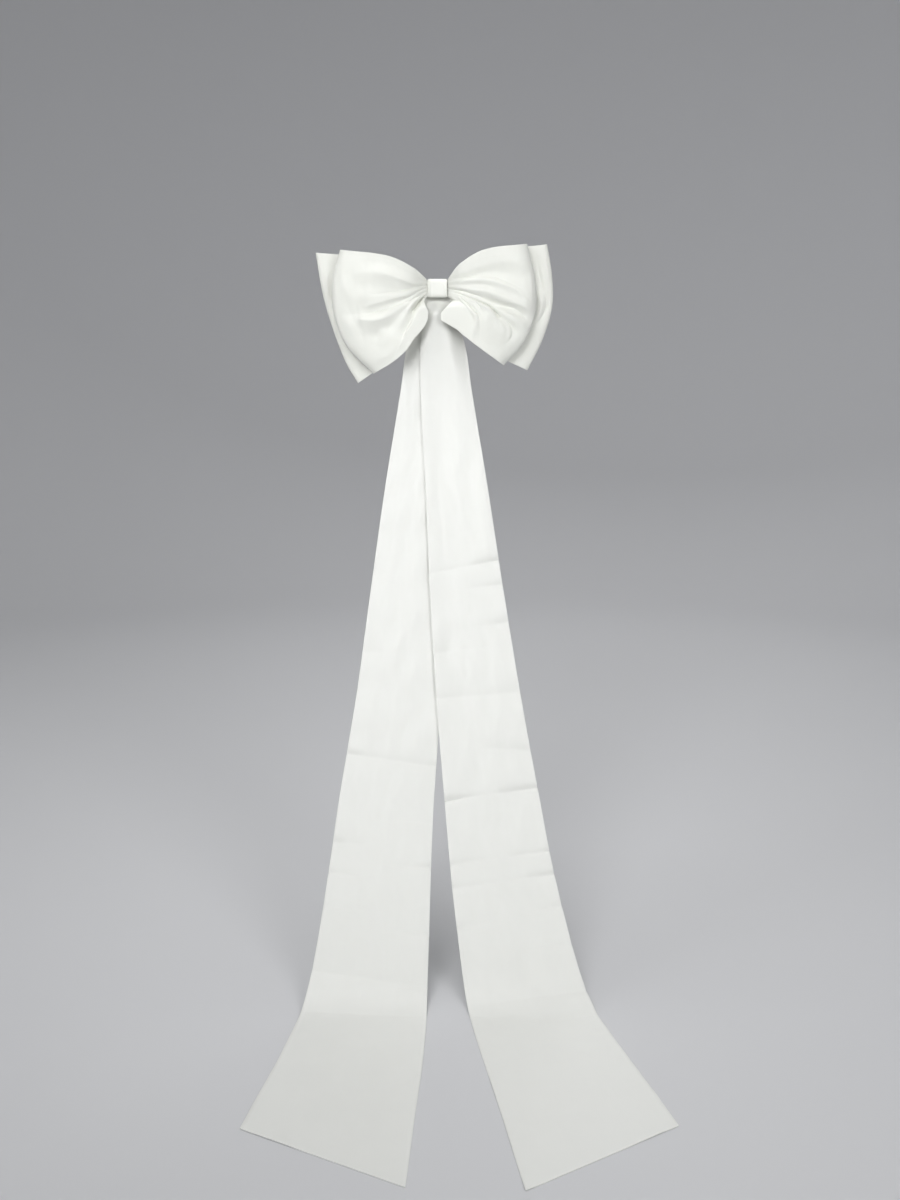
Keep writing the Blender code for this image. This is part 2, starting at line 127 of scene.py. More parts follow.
PLEATS_FRONT_RIGHT = (
    Fold("top edge",      0.00, 0.00, 0.00,  0.00,  0.05,  0.05,  0.00),
    Fold("wide valley",   0.24, 0.22, 0.24, -0.08, -0.15, -0.35, -0.15),
    Fold("arched ridge",  0.30, 0.33, 0.38,  0.05,  0.15,  0.20,  0.20),
    Fold("soft dip",      0.37, 0.39, 0.45,  0.00, -0.05, -0.05,  0.05),
    Fold("middle ridge",  0.44, 0.45, 0.51,  0.05,  0.15,  0.20,  0.15),
    Fold("deep valley",   0.50, 0.53, 0.59, -0.10, -0.25, -0.55, -0.40),
    Fold("lobe rim",      0.55, 0.60, 0.66,  0.00,  0.05,  0.30,  0.20),
    Fold("lobe crease",   0.60, 0.66, 0.73,  0.00,  0.00,  0.05, -0.20),
    Fold("lobe",          0.65, 0.76, 0.82,  0.00,  0.10,  0.40,  0.05),
    Fold("hem crease",    0.72, 0.92, 0.92, -0.05, -0.20, -0.20,  0.00),
    Fold("bottom edge",   1.00, 1.00, 1.00, -0.40,  0.25,  0.15,  0.00))

PLEATS_PLAIN = (
    Fold("top edge",      0.00, 0.00, 0.00,  0.00,  0.00,  0.00,  0.00),
    Fold("first valley",  0.11, 0.12, 0.12, -0.20, -0.15, -0.05,  0.00),
    Fold("first ridge",   0.21, 0.20, 0.19,  0.15,  0.18,  0.10,  0.00),
    Fold("second valley", 0.31, 0.32, 0.33, -0.20, -0.22, -0.20, -0.05),
    Fold("second ridge",  0.40, 0.41, 0.43,  0.18,  0.20,  0.12,  0.05),
    Fold("third valley",  0.50, 0.52, 0.54, -0.20, -0.15, -0.10,  0.00),
    Fold("third ridge",   0.60, 0.60, 0.62,  0.18,  0.22,  0.20,  0.00),
    Fold("fourth valley", 0.70, 0.71, 0.72, -0.20, -0.20, -0.12, -0.05),
    Fold("fourth ridge",  0.80, 0.80, 0.81,  0.15,  0.12,  0.05,  0.00),
    Fold("fifth valley",  0.90, 0.91, 0.92, -0.12, -0.08, -0.05,  0.00),
    Fold("bottom edge",   1.00, 1.00, 1.00,  0.00,  0.00,  0.00,  0.00))

LINES_AT = (0.0, 0.3, 0.7, 1.0)
HEIGHTS_AT = (0.0, 0.1, 0.35, 0.65, 0.9, 1.0)

# Creases run through (x, z) points, from the knot outwards or downwards. heights say how far they
# stand out (+) or sink in (-) along the way, and above and below how wide their two sides are; on
# one that runs downwards, above is its side away from the knot. A crease with soft near 1 is
# sharp, and one with soft near 2 is round.
CREASES_FRONT_LEFT = (
    Crease("first ridge", ((-2.4, 0.4), (-4.8, 0.9), (-7.1, 1.8), (-9.5, 2.6), (-12.5, 3.2)),
           (0.05, 0.25, 0.35, 0.30, 0.0), 1.3, 0.8, 1.5),
    Crease("first valley", ((-2.0, 0.0), (-5.3, -0.2), (-7.6, -0.6), (-10.0, -0.9), (-13.1, -1.3)),
           (-0.08, -0.30, -0.32, -0.25, 0.0), 0.9, 0.35, 1.1),
    Crease("second ridge", ((-2.6, -0.5), (-4.8, -1.1), (-7.2, -1.7), (-9.5, -2.2), (-11.9, -2.9),
                            (-14.5, -3.6)),
           (0.05, 0.20, 0.28, 0.30, 0.35, 0.0), 0.7, 0.6, 1.4),
    Crease("long valley", ((-2.8, -1.1), (-5.3, -2.4), (-7.2, -3.0), (-9.6, -3.9), (-11.9, -4.5),
                           (-14.8, -4.9)),
           (-0.12, -0.35, -0.45, -0.55, -0.60, -0.10), 1.0, 0.35, 1.1),
    Crease("lit shelf", ((-7.0, -4.3), (-9.6, -5.4), (-12.0, -6.0), (-14.6, -5.8)),
           (0.0, 0.25, 0.42, 0.35), 0.8, 1.2, 1.5),
    Crease("shelf end", ((-15.2, -4.4), (-15.1, -6.0), (-14.6, -7.9)),
           (-0.08, -0.18, -0.05), 1.0, 0.5, 1.5),
    Crease("near hollow", ((-8.3, -6.4), (-9.0, -7.2), (-9.3, -8.0)),
           (-0.10, -0.20, -0.10), 0.7, 0.7, 1.6),
    Crease("far hollow", ((-11.3, -7.8), (-11.6, -8.9), (-12.0, -10.2)),
           (-0.25, -0.48, -0.25), 1.3, 1.1, 1.8),
    Crease("low swell", ((-7.4, -10.6), (-9.6, -12.6), (-12.4, -13.8)),
           (0.1, 0.28, 0.1), 1.4, 1.0, 1.8),
    Crease("roll over the gap", ((-2.3, -1.1), (-3.8, -2.2), (-5.6, -4.0)),
           (0.10, 0.40, 0.15), 1.2, 0.9, 1.6),
    Crease("black gap", ((-2.7, -1.7), (-3.3, -2.5), (-4.0, -3.4), (-4.9, -4.6)),
           (-0.80, -1.25, -1.15, -0.30), 0.6, 0.4, 1.8),
    Crease("under the hem strip", ((-4.0, -3.6), (-5.0, -6.0), (-6.1, -8.1), (-6.9, -9.9)),
           (-0.35, -0.65, -0.55, 0.0), 1.7, 0.25, 1.2),
    Crease("edge ripple", ((-18.2, 4.4), (-17.9, 1.4), (-16.9, -1.0), (-15.8, -3.2)),
           (0.08, 0.24, 0.22, 0.0), 0.9, 1.4, 1.7),
    Crease("edge valley", ((-17.0, -3.4), (-15.9, -6.0), (-14.7, -8.0), (-13.8, -10.9)),
           (-0.08, -0.24, -0.22, 0.0), 0.8, 1.0, 1.7),
    Crease("edge roll", ((-17.7, -5.0), (-16.4, -7.9), (-14.9, -10.6)),
           (0.0, 0.14, 0.0), 0.8, 0.9, 1.8))

CREASES_FRONT_RIGHT = (
    Crease("upper ridge", ((3.7, 2.4), (7.0, 3.6), (9.8, 4.5), (12.7, 5.0), (15.5, 4.8),
                           (17.6, 3.4)),
           (0.10, 0.25, 0.35, 0.38, 0.32, 0.10), 1.6, 1.0, 1.7),
    Crease("wide valley", ((3.2, 1.8), (5.3, 1.9), (7.5, 2.3), (9.8, 2.2), (12.2, 1.6), (14.1, 0.8),
                           (16.8, -0.5)),
           (-0.15, -0.32, -0.36, -0.38, -0.32, -0.20, -0.05), 1.2, 0.25, 1.2),
    Crease("arched ridge", ((5.3, 1.4), (7.5, 1.8), (9.8, 1.6), (12.2, 0.9), (15.0, -0.4),
                            (17.5, -2.6)),
           (0.05, 0.12, 0.18, 0.22, 0.22, 0.10), 0.3, 1.0, 1.5),
    Crease("pleat at the knot", ((2.1, -0.25), (3.8, -0.45), (6.0, -0.75)),
           (-0.10, -0.22, -0.05), 0.7, 0.4, 1.4),
    Crease("soft dip", ((5.5, 0.9), (7.5, 0.9), (9.9, 0.5), (11.8, -0.6)),
           (-0.03, -0.10, -0.10, 0.0), 0.5, 0.6, 1.6),
    Crease("ridge over the deep valley", ((5.8, -0.4), (9.4, -1.5), (12.4, -2.3), (15.4, -2.9),
                                          (17.9, -4.3)),
           (0.08, 0.35, 0.60, 0.45, 0.15), 1.5, 0.6, 1.5),
    Crease("deep valley", ((3.0, -0.8), (5.8, -1.6), (8.2, -2.5), (10.1, -3.4), (11.4, -4.8),
                           (11.9, -5.7)),
           (-0.10, -0.35, -0.75, -1.35, -1.25, -0.35), 0.9, 0.2, 1.2),
    Crease("valley over the puff", ((11.4, -3.4), (13.0, -3.5), (14.8, -3.8), (16.4, -5.2),
                                    (17.4, -6.8)),
           (-0.20, -0.32, -0.36, -0.30, 0.0), 0.8, 0.35, 1.3),
    Crease("lobe rim", ((8.4, -2.9), (9.8, -3.7), (10.7, -4.8), (11.3, -6.0)),
           (0.10, 0.40, 0.42, 0.15), 0.18, 1.6, 1.4),
    Crease("near lobe roll", ((9.2, -4.2), (9.5, -6.4), (9.4, -9.4)),
           (0.05, 0.10, 0.0), 0.6, 0.9, 1.7),
    Crease("lobe groove", ((10.5, -4.6), (10.7, -6.9), (10.5, -9.2)),
           (-0.02, -0.06, 0.0), 0.4, 0.4, 1.5),
    Crease("far lobe roll", ((11.9, -6.0), (12.7, -7.9), (12.3, -9.9)),
           (0.10, 0.20, 0.06), 0.4, 1.4, 1.7),
    Crease("lobe border", ((12.0, -5.4), (13.3, -6.2), (14.2, -7.6), (14.2, -9.1), (12.8, -10.8)),
           (-0.20, -0.36, -0.42, -0.30, 0.0), 1.2, 0.2, 1.2),
    Crease("small puff", ((13.2, -4.7), (14.2, -5.0), (15.0, -6.0), (15.2, -7.4)),
           (0.05, 0.20, 0.22, 0.05), 0.3, 0.6, 1.4),
    Crease("beside the facet", ((4.6, -2.0), (6.4, -3.5), (7.8, -5.1), (8.0, -7.4), (7.8, -10.2)),
           (-0.30, -0.55, -0.50, -0.30, 0.0), 0.8, 0.2, 1.3),
    Crease("pocket", ((7.0, -2.3), (8.0, -3.2), (8.5, -4.4)),
           (-0.12, -0.22, -0.05), 0.25, 0.25, 1.3),
    Crease("line in the pocket", ((6.9, -3.0), (7.5, -3.8), (8.1, -4.7)),
           (0.06, 0.12, 0.03), 0.12, 0.15, 1.3),
    Crease("pinch", ((18.4, -4.6), (17.8, -6.3), (16.6, -7.6)),
           (-0.08, -0.20, 0.0), 0.6, 0.6, 1.5),
    Crease("pressed edge", ((18.0, 5.2), (18.1, 0.6), (18.1, -4.2)),
           (0.05, 0.10, 0.05), 0.3, 0.5, 1.3))

CREASE_FULL = 10.0          # how far from the knot creases have their full width
CREASE_LEAST = 0.3          # and how narrow they are at the knot, as a share of it
CREASE_STEPS = 24           # straight pieces that a crease's curve is measured along

# A flap is the part of the last pleat that has fallen open. It lies nearly flat, on the side of
# its border that is nearer the middle. near is how far forward it is at the middle, and lean how
# much further forward it is for each centimetre outwards.
Flap = namedtuple("Flap", "border near lean")

FLAP_LEFT = Flap(
    ((-2.5, -1.8), (-3.2, -2.9), (-4.1, -4.5), (-5.0, -6.2), (-6.1, -8.1), (-6.9, -9.9)), 4.9, 0.20)
FLAP_RIGHT = Flap(
    ((3.5, -1.9), (4.4, -2.4), (5.9, -3.7), (7.1, -5.2), (7.4, -6.9), (7.0, -10.4)), 4.7, 0.20)
FLAP_EDGE = 0.35            # how wide the step at its border is
FLAP_TOP = (-2.2, -3.8)     # the heights where it begins and is full
FLAP_END = (-12.5, -9.5)    # and where it ends and is still full

# Near the knot pleats are crisper than plain waves: by this share and this power, between where
# that begins and is full, and where it has faded and is still full, as shares of the way out.
CRISP_SHARE = 0.35
CRISP_POWER = 1.2
CRISP_BEGINS = (0.02, 0.10)
CRISP_FADES = (0.75, 0.25)

# Dents to a centimetre, across and along, and how deep they are, in centimetres
Dents = namedtuple("Dents", "across along depth")
BROAD_DENTS = Dents(0.30, 0.30, 0.16)
FINE_DENTS = Dents(0.95, 0.55, 0.035)
FINE_SEED = 7.0             # keeps the fine dents apart from the broad ones


def curve_through(knots, values, at):
    """The values at places on a smooth curve through the values, which stand at the knots."""
    knots = np.asarray(knots, float)
    values = np.asarray(values, float)
    last = len(knots) - 1
    before = np.maximum(np.arange(last + 1) - 1, 0)
    after = np.minimum(np.arange(last + 1) + 1, last)
    slope = (values[after] - values[before]) / (knots[after] - knots[before])
    at = np.clip(at, knots[0], knots[last])
    i = np.clip(np.searchsorted(knots, at, side="right") - 1, 0, last - 1)
    span = knots[i + 1] - knots[i]
    t = (at - knots[i]) / span
    return ((2 * t ** 3 - 3 * t ** 2 + 1) * values[i] + (t ** 3 - 2 * t ** 2 + t) * span * slope[i]
            + (3 * t ** 2 - 2 * t ** 3) * values[i + 1] + (t ** 3 - t ** 2) * span * slope[i + 1])


def ramp(start, end, at):
    """Rises smoothly from 0 at start to 1 at end, whichever of them is the greater."""
    t = np.clip((at - start) / (end - start), 0.0, 1.0)
    return t * t * (3 - 2 * t)


def spaced_knots(points):
    """Knots from 0 to 1, spaced by the square root of the distance between the points."""
    steps = np.sqrt(np.linalg.norm(np.diff(np.asarray(points, float), axis=0), axis=1))
    knots = np.concatenate(([0.0], np.cumsum(steps)))
    return knots / knots[-1]


def along(points, at):
    """The points at shares of the smooth curve through the points."""
    knots = spaced_knots(points)
    return np.stack([curve_through(knots, column, at) for column in zip(*points)], axis=-1)


def loop_outline(edge, side, out, down):
    """(x, z) of a loop's wall: out goes from the knot to the fold, down from top to bottom."""
    out, down = out[..., None], down[..., None]
    neck = np.concatenate((np.full_like(down, side * NECK_X), NECK_HALF * (1 - 2 * down)), axis=-1)
    fold_top, fold_bottom = np.array(edge.fold[0]), np.array(edge.fold[-1])
    across = along(edge.top, out[..., 0]) * (1 - down) + along(edge.bottom, out[..., 0]) * down
    upright = neck * (1 - out) + along(edge.fold, down[..., 0]) * out
    corners = neck * (1 - out) + (fold_top * (1 - down) + fold_bottom * down) * out
    return across + upright - corners


def pleats(folds, row, out):
    """Where the cloth lies, as a share of the height, and how far it stands out. row counts fold
    lines from the top. Valleys are narrow near the knot and soften outwards."""
    lines = np.stack([curve_through(LINES_AT, (i / (len(folds) - 1), f.near, f.far, f.edge), out)
                      for i, f in enumerate(folds)])
    heights = np.stack([curve_through(
        HEIGHTS_AT, (NECK_ZIGZAG * (1 - 2 * (i % 2)), f.start, f.middle, f.late, f.end, 0.0), out)
        for i, f in enumerate(folds)])
    i = np.minimum(row.astype(int), len(folds) - 2)
    t = row - i
    pick = np.arange(len(out))
    line = lines[i, pick] * (1 - t) + lines[i + 1, pick] * t
    soft = (1 - np.cos(np.pi * t)) / 2
    from_valley = np.where(i % 2 == 1, t, 1 - t)
    crisp = np.sin(np.pi / 2 * from_valley) ** CRISP_POWER
    crisp = np.where(i % 2 == 1, crisp, 1 - crisp)
    share = soft + (crisp - soft) * CRISP_SHARE * ramp(*CRISP_FADES, out) * ramp(*CRISP_BEGINS, out)
    return line, heights[i, pick] * (1 - share) + heights[i + 1, pick] * share


def beside(points, side, x, z):
    """How far x, z is from the curve through the points, which share of it is the nearest, and
    whether x, z is above it or, on one that runs downwards, on its side away from the knot."""
    path = along(points, np.linspace(0, 1, CREASE_STEPS + 1))
    best = np.full_like(x, np.inf)
    share = np.zeros_like(x)
    is_above = np.zeros(x.shape, bool)
    for i, (a, b) in enumerate(zip(path, path[1:])):
        step = b - a
        t = np.clip(((x - a[0]) * step[0] + (z - a[1]) * step[1]) / (step @ step), 0, 1)
        dx, dz = x - a[0] - t * step[0], z - a[1] - t * step[1]
        distance = np.hypot(dx, dz)
        near = distance < best
        best = np.where(near, distance, best)
        share = np.where(near, (i + t) / CREASE_STEPS, share)
        is_above = np.where(near, (step[0] * dz - step[1] * dx) * side > 0, is_above)
    return best, share, is_above


def crease_height(creases, side, x, z):
    """How far the creases move the points at x, z out (+) or in (-). They narrow near the knot."""
    total = np.zeros_like(x)
    narrow = np.clip(np.hypot(x, z) / CREASE_FULL, CREASE_LEAST, 1.0)
    for crease in creases:
        distance, share, is_above = beside(crease.points, side, x, z)
        width = np.where(is_above, crease.above, crease.below)
        height = curve_through(np.linspace(0, 1, len(crease.heights)), crease.heights, share)
        total += height * np.exp(-(distance / (width * narrow)) ** crease.soft)
    return total


def flap_share(flap, side, x, z):
    """1 where the flap's flat part is at x, z, and 0 where the rest of the loop is."""
    distance, _, is_above = beside(flap.border, side, x, z)
    beyond_border = np.where(is_above, 0.0, ramp(0.0, FLAP_EDGE, distance))
    return beyond_border * ramp(*FLAP_TOP, z) * ramp(*FLAP_END, z)


def crumple(across, along_it, seed):
    """Faint uneven dents of handled cloth, in centimetres, at places on the flat cloth."""
    dents = np.zeros_like(across, dtype=float)
    for kind, kind_seed in ((BROAD_DENTS, seed), (FINE_DENTS, seed + FINE_SEED)):
        for i, (u, v) in enumerate(zip(across, along_it)):
            dents[i] += kind.depth * noise.noise((u * kind.across, v * kind.along, kind_seed))
    return dents


CM = 0.01
EDGE_ROUND = 0.3            # how round the cloth's edges are, as a share of its wall
EDGE_ANGLE = 60             # degrees: what is sharper than this is an edge
MERGE_DISTANCE = 1e-5       # metres


def lay_sheet(name, columns, rows, place, wall, flat, closed=False):
    """A sheet of cloth of columns x rows cells. place gives the points, in centimetres, for arrays
    of column and row numbers. flat is the size of the cloth in centimetres, across the columns and
    the rows, and becomes the UV map, in metres. The sheet gets its thickness and rounded edges. On
    a closed one the first and last columns meet."""
    bpy.ops.object.select_all(action="DESELECT")
    bpy.ops.mesh.primitive_grid_add(x_subdivisions=columns, y_subdivisions=rows, size=2,
                                    location=(0, 0, 0))
    sheet = bpy.context.object
    sheet.name = sheet.data.name = name
    plain = np.empty(len(sheet.data.vertices) * 3)
    sheet.data.vertices.foreach_get("co", plain)
    plain = plain.reshape(-1, 3)
    column = np.rint((plain[:, 0] + 1) / 2 * columns).astype(int)
    row = np.rint((1 - plain[:, 1]) / 2 * rows).astype(int)
    points = place(column, row) * CM
    sheet.data.vertices.foreach_set("co", points.ravel())
    corners = np.empty(len(sheet.data.loops) * 2)
    sheet.data.uv_layers[0].data.foreach_get("uv", corners)
    corners = corners.reshape(-1, 2) * flat * CM
    sheet.data.uv_layers[0].data.foreach_set("uv", corners.ravel())
    if closed:
        bpy.ops.object.mode_set(mode="EDIT")
        bpy.ops.mesh.select_all(action="SELECT")
        bpy.ops.mesh.remove_doubles(threshold=MERGE_DISTANCE)
        bpy.ops.object.mode_set(mode="OBJECT")
    cloth = sheet.modifiers.new("cloth", "SOLIDIFY")
    cloth.thickness = wall * CM
    cloth.offset = 0.0
    cloth.use_rim = True
    bpy.ops.object.modifier_apply(modifier="cloth")
    edges = sheet.modifiers.new("pressed edges", "BEVEL")
    edges.width = wall * CM * EDGE_ROUND
    edges.segments = 2
    edges.limit_method = "ANGLE"
    edges.angle_limit = math.radians(EDGE_ANGLE)
    bpy.ops.object.modifier_apply(modifier="pressed edges")
    bpy.ops.object.shade_smooth()
    return sheet


OUT_CELLS = 120             # cells from the knot to the fold on the outer wall
IN_CELLS = 50               # and back again on the inner wall
ROWS_PER_FOLD = 15
LIP_ROWS = 0.72             # the lip is what lies below this share of the height
LOOP_FLAT = (46.0, 26.0)    # both walls in one length, and the height at the fold
CLEAR_OF_KNOT = (0.0, 0.06)  # creases begin and are full here, as shares of the way out
CLEAR_OF_FOLD = (1.0, 0.96)
DENTS_BEGIN = (0.05, 0.5)
INNER_DENTS = 0.6           # how much fainter they are on the inner wall
FLAP_DENTS = 0.5            # and on a flap


def fold_share(out):
    """Steps along a wall, which shorten towards the fold, so that the fold comes out round."""
    return 1 - np.sqrt(1 - out)


def lay_loop(name, edge, side, outer, inner, seed, outer_pleats, inner_pleats, outer_creases,
             inner_creases=(), flap=None):
    """side is -1 for a left loop and 1 for a right one. outer and inner name the WALLS columns."""
    shares = fold_share(np.array([wall.share for wall in WALLS]))
    outer_depth = [getattr(wall, outer) for wall in WALLS]
    inner_depth = [getattr(wall, inner) for wall in WALLS]
    columns = OUT_CELLS + IN_CELLS + 2

    def place(column, row):
        is_outer = column <= OUT_CELLS + 1
        is_hidden = (column == 0) | (column == columns)
        step = np.where(is_outer, (column - 1) / OUT_CELLS, (columns - 1 - column) / IN_CELLS)
        step = np.clip(step, 0.0, 1.0)
        out = 1 - (1 - step) ** 2
        line_out, height_out = pleats(outer_pleats, row / ROWS_PER_FOLD, out)
        line_in, height_in = pleats(inner_pleats, row / ROWS_PER_FOLD, out)
        line = np.where(is_outer, line_out, line_in)
        x, z = loop_outline(edge, side, out, line).T
        reach = np.interp(-z, *zip(*edge.lip)) * ramp(LIP_ROWS, 1.0, line)
        reach = np.where(is_outer & ~is_hidden, reach, 0.0)
        x = x - side * reach
        clear = ramp(*CLEAR_OF_KNOT, out) * ramp(*CLEAR_OF_FOLD, out)
        dents = crumple(x, z, seed) * ramp(*DENTS_BEGIN, out)
        creased_out = crease_height(outer_creases, side, x, z) + dents
        creased_in = crease_height(inner_creases, side, x, z) + INNER_DENTS * dents
        height_out = height_out + creased_out * clear
        height_in = height_in - creased_in * clear
        depth = np.where(is_outer, curve_through(shares, outer_depth, step) - height_out,
                         curve_through(shares, inner_depth, step) - height_in)
        if flap:
            level = -flap.near - flap.lean * np.abs(x) - FLAP_DENTS * dents
            depth += (level - depth) * np.where(is_outer, flap_share(flap, side, x, z), 0.0)
        x = np.where(is_hidden, side * LOOP_SEAM / 2, x)
        return np.stack((x, depth, z), axis=-1)

    rows = (len(outer_pleats) - 1) * ROWS_PER_FOLD
    return lay_sheet(name, columns, rows, place, LOOP_WALL, LOOP_FLAT)


class Value:
    """One output of a material's nodes. Sums on values add Math nodes to the same tree."""

    def __init__(self, tree, socket):
        self.tree = tree
        self.socket = socket

    @classmethod
    def node(cls, tree, kind, settings, sockets, output=0):
        """Adds a node with its settings, then fills its sockets with numbers or values."""
        node = tree.nodes.new(kind)
        for name, setting in settings.items():
            setattr(node, name, setting)
        for name, value in sockets.items():
            if isinstance(value, Value):
                tree.links.new(value.socket, node.inputs[name])
            else:
                node.inputs[name].default_value = value
        return cls(tree, node.outputs[output])

    def sum(self, operation, first, second):
        return Value.node(self.tree, "ShaderNodeMath", {"operation": operation},
                          {0: first, 1: second})

    def __add__(self, other):
        return self.sum("ADD", self, other)

    def __sub__(self, other):
        return self.sum("SUBTRACT", self, other)

    def __rsub__(self, other):
        return self.sum("SUBTRACT", other, self)

    def __mul__(self, other):
        return self.sum("MULTIPLY", self, other)

    __radd__ = __add__
    __rmul__ = __mul__


SEAM_ALLOWANCE = 1.0
ALLOWANCE_STEP = 0.1
FLOATS, THREADS = 90, 1900  # to a metre of cloth: long floats in line, and threads side by side
SLUBS_ALONG, SLUBS_ACROSS = 12, 260
MOTTLES, HANDLING = 16.0, 55.0      # to a metre too
DARKEST = 0.955             # how dark the mottled cloth gets
SMOOTHEST = 0.36            # its roughness where it is smoothest
ROUGHER = 0.10              # and how much rougher threads and mottles each make it
WEAVE_HEIGHT = 0.0003       # metres
DENT_HEIGHT = 0.0012


def satin(name, shade, flat, run):
    """Heavy ivory satin. Its long floats run with the strip, along axis run of its flat size, and
    the seam allowance shows faintly through at the strip's two edges."""
    material = bpy.data.materials.new(name)
    material.use_nodes = True
    tree = material.node_tree
    shader = tree.nodes["Principled BSDF"]
    shader.inputs["Specular IOR Level"].default_value = 0.4
    shader.inputs["Sheen Weight"].default_value = 0.10
    shader.inputs["Sheen Roughness"].default_value = 0.45
    cloth = Value.node(tree, "ShaderNodeUVMap", {}, {})
    place = Value.node(tree, "ShaderNodeTexCoord", {}, {}, "Object")
    drawn_out = (FLOATS, THREADS, 1) if run == 0 else (THREADS, FLOATS, 1)
    streaked = (SLUBS_ALONG, SLUBS_ACROSS, 1) if run == 0 else (SLUBS_ACROSS, SLUBS_ALONG, 1)

    def uneven(at, scale, detail):
        return Value.node(tree, "ShaderNodeTexNoise", {},
                          {"Vector": at, "Scale": scale, "Detail": detail})

    floats = Value.node(tree, "ShaderNodeMapping", {}, {"Vector": cloth, "Scale": drawn_out})
    thread = uneven(floats, 1.0, 1.0)
    slubs = Value.node(tree, "ShaderNodeMapping", {}, {"Vector": cloth, "Scale": streaked})
    slub = uneven(slubs, 1.0, 2.0)
    cloud = uneven(place, MOTTLES, 3.0)
    handled = uneven(place, HANDLING, 2.0)
    mottle = cloud * 0.7 + slub * 0.3
    tint = Value.node(tree, "ShaderNodeMix", {"data_type": "RGBA"},
                      {0: mottle, 6: (*(DARKEST * part for part in shade), 1), 7: (*shade, 1)}, 2)
    tree.links.new(tint.socket, shader.inputs["Base Color"])
    roughness = SMOOTHEST + thread * ROUGHER + cloud * ROUGHER
    tree.links.new(roughness.socket, shader.inputs["Roughness"])
    weave = Value.node(tree, "ShaderNodeBump", {},
                       {"Height": thread * 0.6 + slub * 0.4, "Strength": 0.12,
                        "Distance": WEAVE_HEIGHT})
    across = Value.node(tree, "ShaderNodeSeparateXYZ", {}, {"Vector": cloth}, 1 - run)
    half_width = flat[1 - run] * CM / 2
    from_middle = Value.node(tree, "ShaderNodeMath", {"operation": "ABSOLUTE"},
                             {0: across - half_width})
    allowance = Value.node(tree, "ShaderNodeMapRange", {"interpolation_type": "SMOOTHSTEP"},
                           {0: from_middle, 1: half_width - (SEAM_ALLOWANCE + ALLOWANCE_STEP) * CM,
                            2: half_width - (SEAM_ALLOWANCE - ALLOWANCE_STEP) * CM})
    dents = Value.node(tree, "ShaderNodeBump", {},
                       {"Height": handled * 0.7 + allowance * 0.3, "Strength": 0.25,
                        "Distance": DENT_HEIGHT, "Normal": weave})
    tree.links.new(dents.socket, shader.inputs["Normal"])
    return material


loop_satin = satin("loop_satin", (0.835, 0.845, 0.79), LOOP_FLAT, 0)

front_loop_left = lay_loop("satin_front_loop_left", FRONT_LEFT, -1, "front_out", "front_in", -3.0,
                           PLEATS_FRONT_LEFT, PLEATS_PLAIN, CREASES_FRONT_LEFT, flap=FLAP_LEFT)
front_loop_right = lay_loop("satin_front_loop_right", FRONT_RIGHT, 1, "front_out", "front_in", 3.0,
                            PLEATS_FRONT_RIGHT, PLEATS_PLAIN, CREASES_FRONT_RIGHT, flap=FLAP_RIGHT)

for loop, node in ((front_loop_left, "front_loop_left"), (front_loop_right, "front_loop_right")):
    loop.data.materials.append(loop_satin)
    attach(loop, "root")
    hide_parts(node)


# =============================================================================================
# Back loops: the larger bow behind the first one, of the same satin and made the same way. Only
# their outer ends show from the front, and their plain backs lie towards the wearer.
# =============================================================================================

BACK_LEFT = Edge(
    top=((-1.95, 1.42), (-2.6, 2.1), (-4.9, 3.8), (-9.5, 5.6), (-23.4, 6.7)),
    fold=((-23.4, 6.7), (-22.3, -0.3), (-20.8, -6.1), (-18.0, -13.8), (-15.5, -18.2)),
    bottom=((-1.95, -1.42), (-2.6, -2.4), (-3.4, -5.4), (-4.4, -8.6), (-7.9, -12.7),
            (-15.5, -18.2)),
    lip=((0.0, 0.0),))

BACK_RIGHT = Edge(
    top=((1.95, 1.42), (2.6, 2.3), (4.7, 4.5), (9.3, 6.9), (21.1, 8.3)),
    fold=((21.1, 8.3), (22.1, 2.5), (22.2, -3.5), (20.4, -9.8), (17.5, -15.7)),
    bottom=((1.95, -1.42), (2.6, -2.4), (3.6, -5.4), (5.2, -8.4), (9.4, -11.8),
            (17.5, -15.7)),
    lip=((0.0, 0.0),))

CREASES_BACK_LEFT = (
    Crease("lit upright", ((-21.6, 3.6), (-21.3, 0.6), (-20.8, -2.4)),
           (0.0, 0.16, 0.0), 0.6, 0.7, 1.5),
    Crease("slope behind the front loop", ((-20.2, 5.0), (-20.4, 0.0), (-19.6, -6.0)),
           (-0.1, -0.2, -0.1), 0.7, 0.7, 1.5))

CREASES_BACK_RIGHT = (
    Crease("trough behind the front loop", ((19.2, 5.4), (19.7, 2.3), (20.4, -0.2)),
           (-0.1, -0.35, -0.15), 0.5, 0.8, 1.4),
    Crease("curl", ((19.5, -1.0), (20.2, -2.7), (19.9, -4.4), (19.1, -6.0)),
           (0.1, 0.35, 0.30, 0.0), 0.3, 0.6, 1.3),
    Crease("beside the curl", ((20.6, -0.9), (21.1, -2.9), (20.4, -5.1), (19.2, -6.9)),
           (-0.05, -0.30, -0.30, -0.05), 0.5, 0.25, 1.2),
    Crease("lit upright", ((20.9, 6.3), (21.4, 3.2), (21.7, 0.6)),
           (0.05, 0.15, 0.0), 0.4, 0.6, 1.5))

